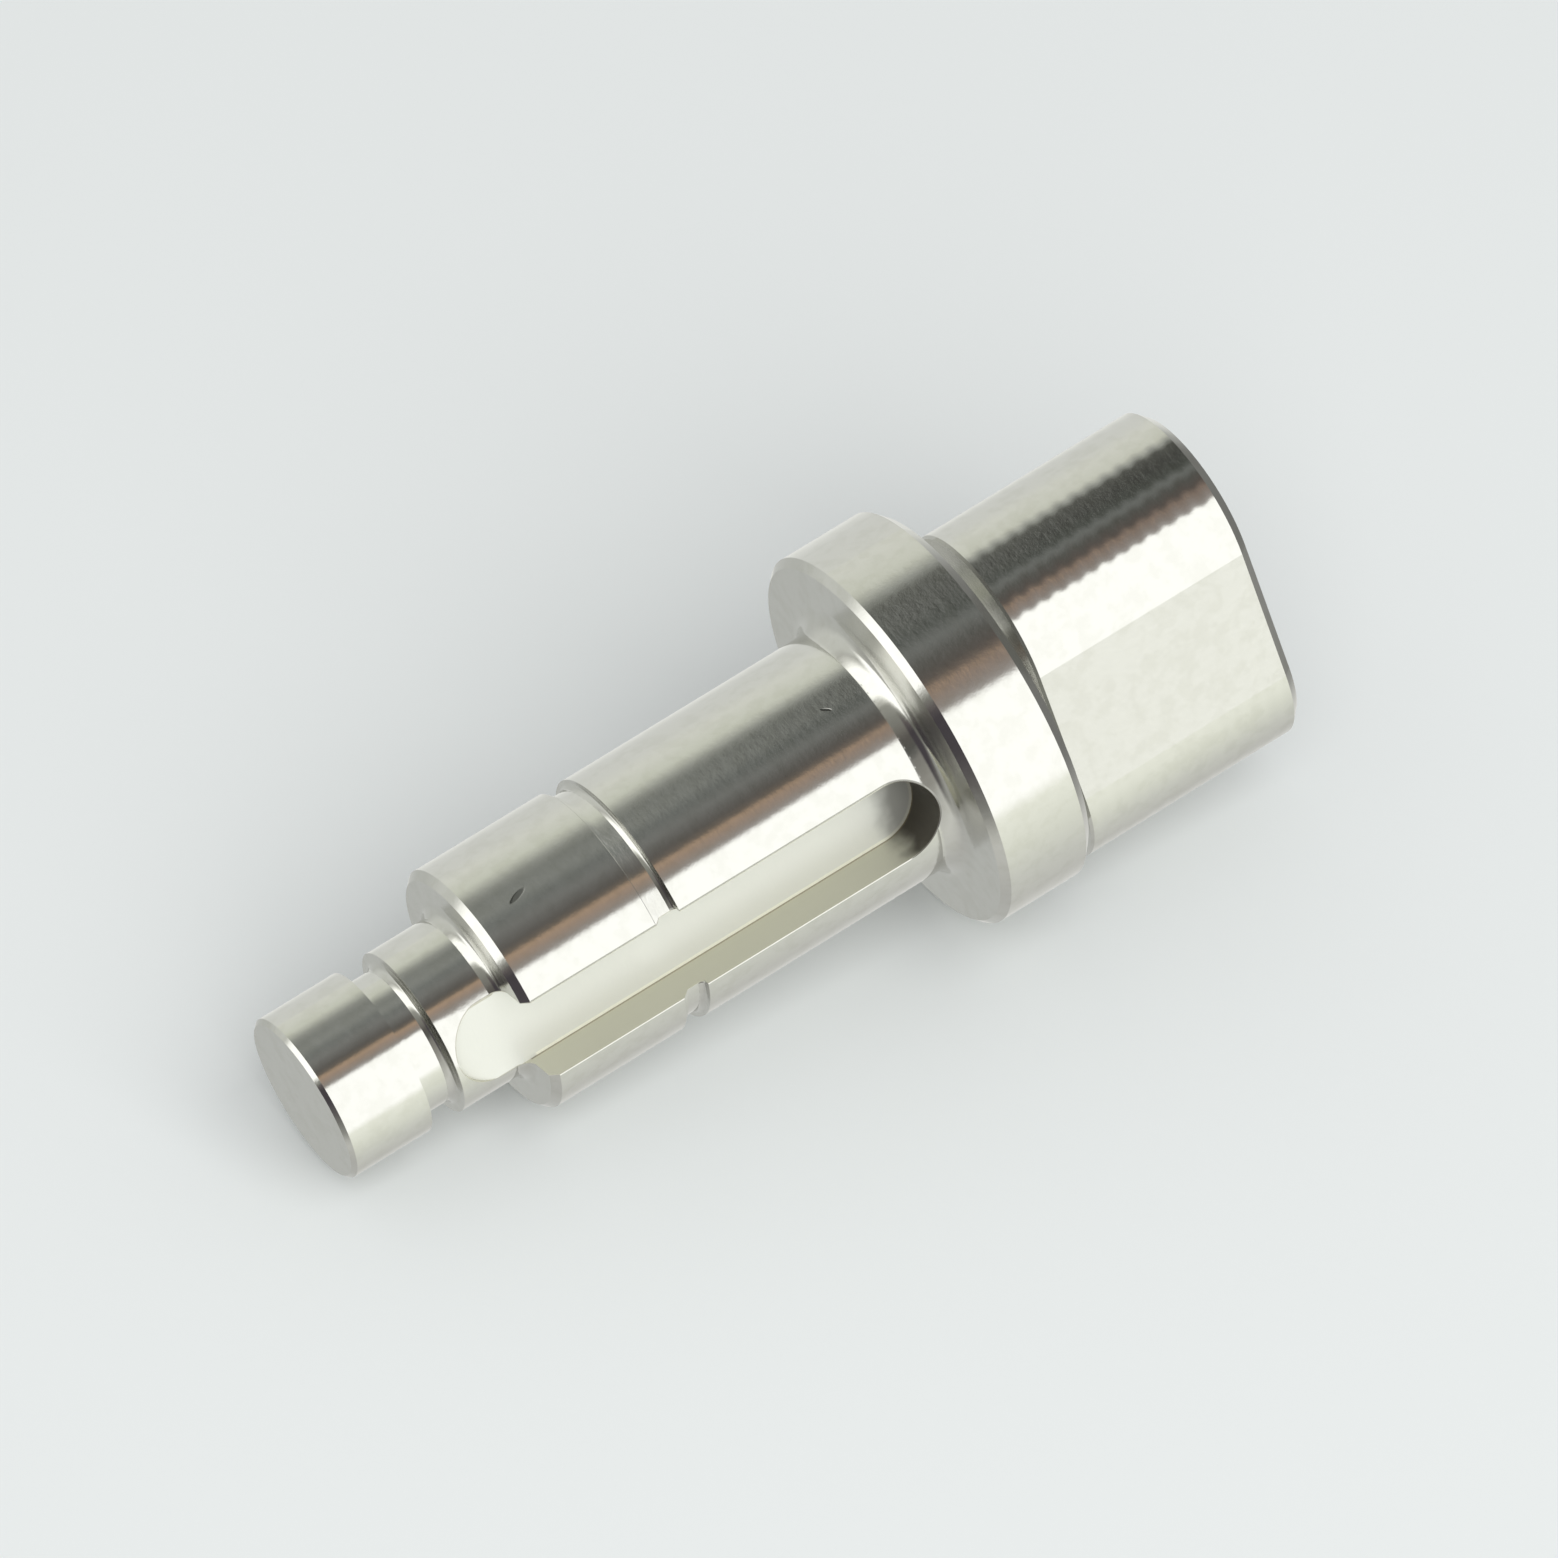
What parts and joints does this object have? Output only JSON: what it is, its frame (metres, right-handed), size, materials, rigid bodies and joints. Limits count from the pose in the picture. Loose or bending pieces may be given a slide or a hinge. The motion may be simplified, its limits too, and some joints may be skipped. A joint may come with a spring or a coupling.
{
  "type": "stepped shaft",
  "caption": "Turned stepped shaft with a grooved end pin, a keyed journal, a thrust flange and a flat-sided head set off its axis.",
  "frame": {"origin": "on the shaft axis, at the end face of the head that the shaft stands on", "axes": "+Z along the shaft axis from the head to the end pin; -Y is the side of the keyway; -X is the way the head is set off the axis"},
  "size_m": [0.0186, 0.0186, 0.0481],
  "materials": {
    "stepped_shaft": "bright turned and ground steel, milled on the head and in the keyway"
  },
  "bodies": {
    "root": {"stepped_shaft": "stepped_shaft"}
  },
  "joints": []
}
